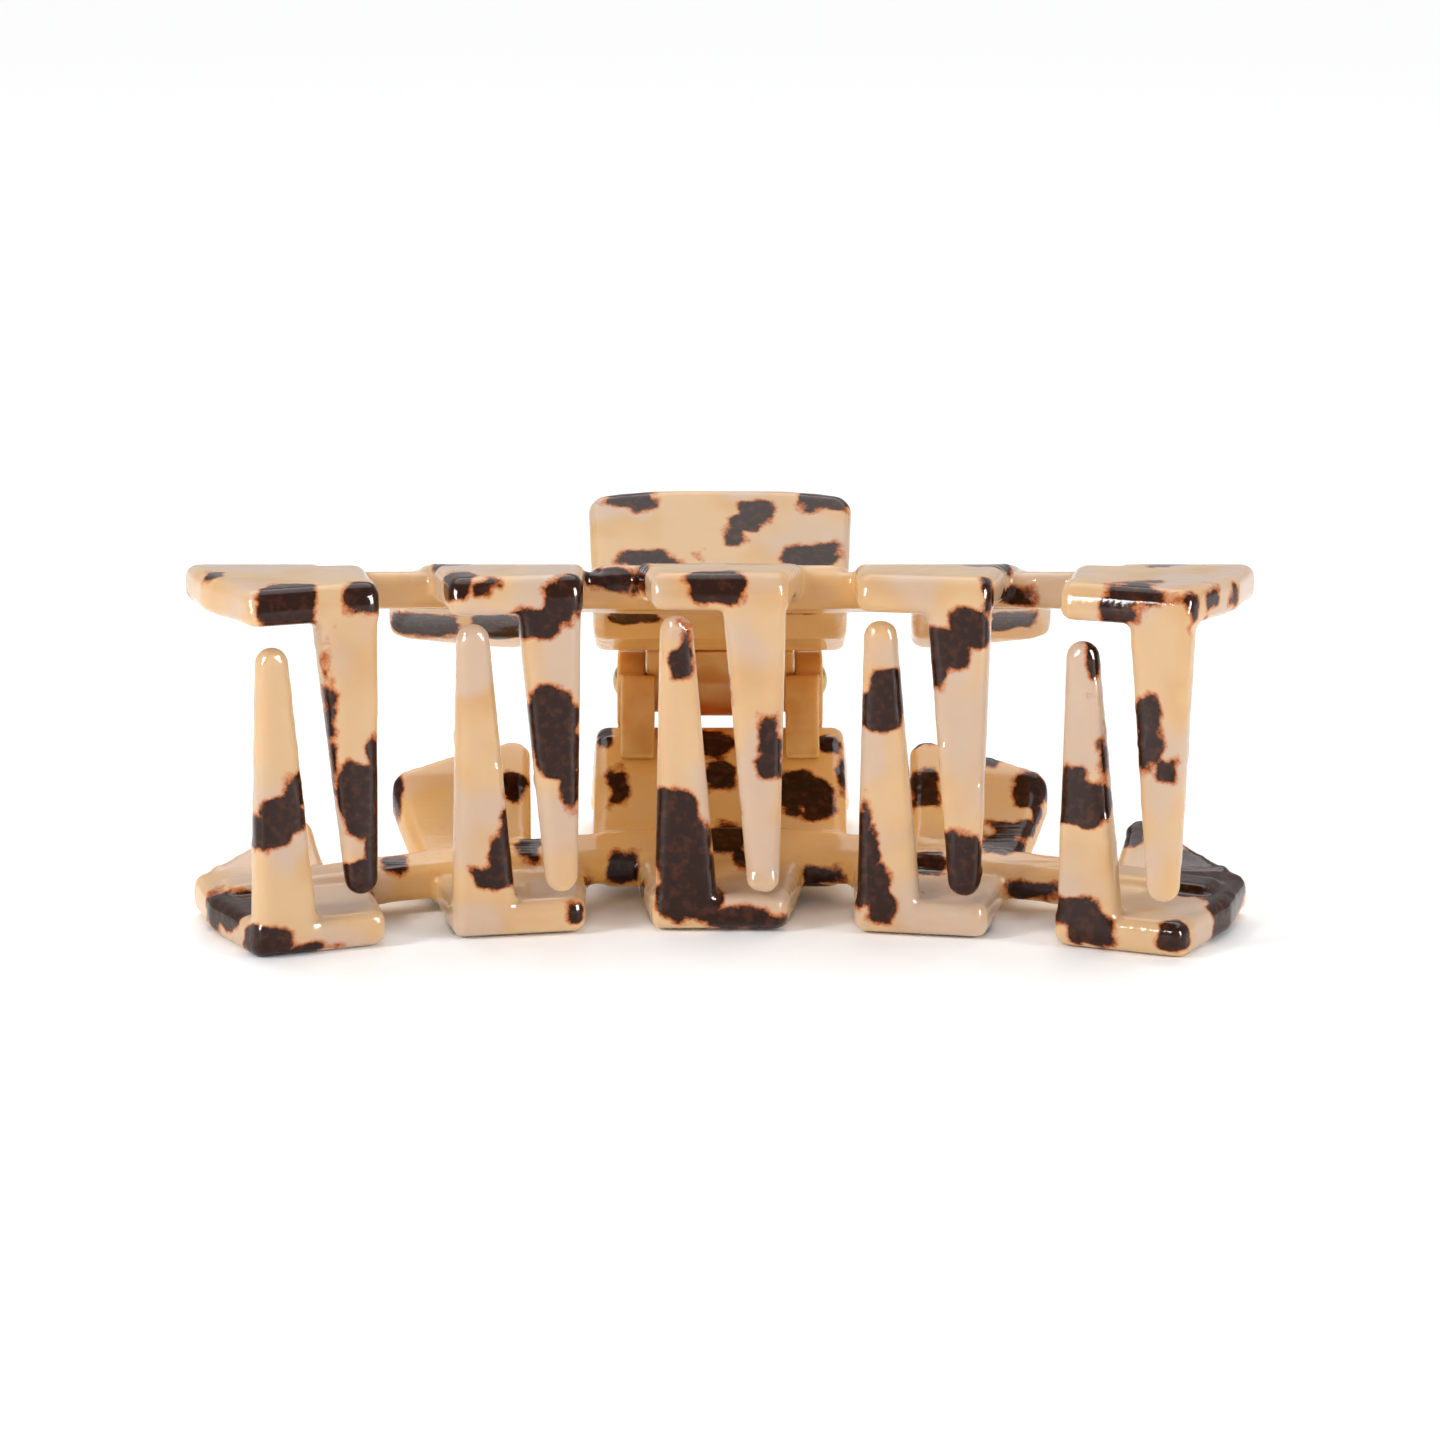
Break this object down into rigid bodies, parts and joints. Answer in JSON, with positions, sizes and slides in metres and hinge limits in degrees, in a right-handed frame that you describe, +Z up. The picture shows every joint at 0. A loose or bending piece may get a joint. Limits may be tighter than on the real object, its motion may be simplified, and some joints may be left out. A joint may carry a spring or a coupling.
{
  "type": "claw clip",
  "caption": "Sprung hair claw clip lying on its side: curved ribbed jaws with long tapered teeth, hinged on a pin, with flared handles.",
  "frame": {"origin": "centre of the footprint, on the surface that the clip lies on", "axes": "+X along the clip's length, to the right when looking at the teeth; +Y from the teeth to the handles; +Z up, from the lower jaw to the upper jaw"},
  "size_m": [0.1094, 0.0608, 0.0376],
  "materials": {
    "acetate": "polished translucent tortoiseshell acetate: cream caramel with irregular dark brown blotches",
    "plain_acetate": "polished plain caramel acetate",
    "steel": "drawn spring steel",
    "brass": "smooth brass-coloured domes"
  },
  "bodies": {
    "lower": {"lower_jaw": "acetate", "lower_left_ear": "plain_acetate", "lower_right_ear": "plain_acetate", "hinge_pin": "steel", "pin_cap_left": "brass", "pin_cap_right": "brass", "torsion_spring": "steel"},
    "upper": {"upper_jaw": "acetate", "upper_left_ear": "plain_acetate", "upper_right_ear": "plain_acetate", "spring_cover": "plain_acetate"}
  },
  "joints": [
    {"name": "jaw_hinge", "type": "hinge", "parent": "lower", "child": "upper", "pos_m": [0, 0.01561, 0.0188], "axis": [-1, 0, 0], "range_deg": [0, 75], "stiffness_Nm_per_rad": 0.2, "springref_deg": -34.38, "deforming": ["torsion_spring"]}
  ]
}
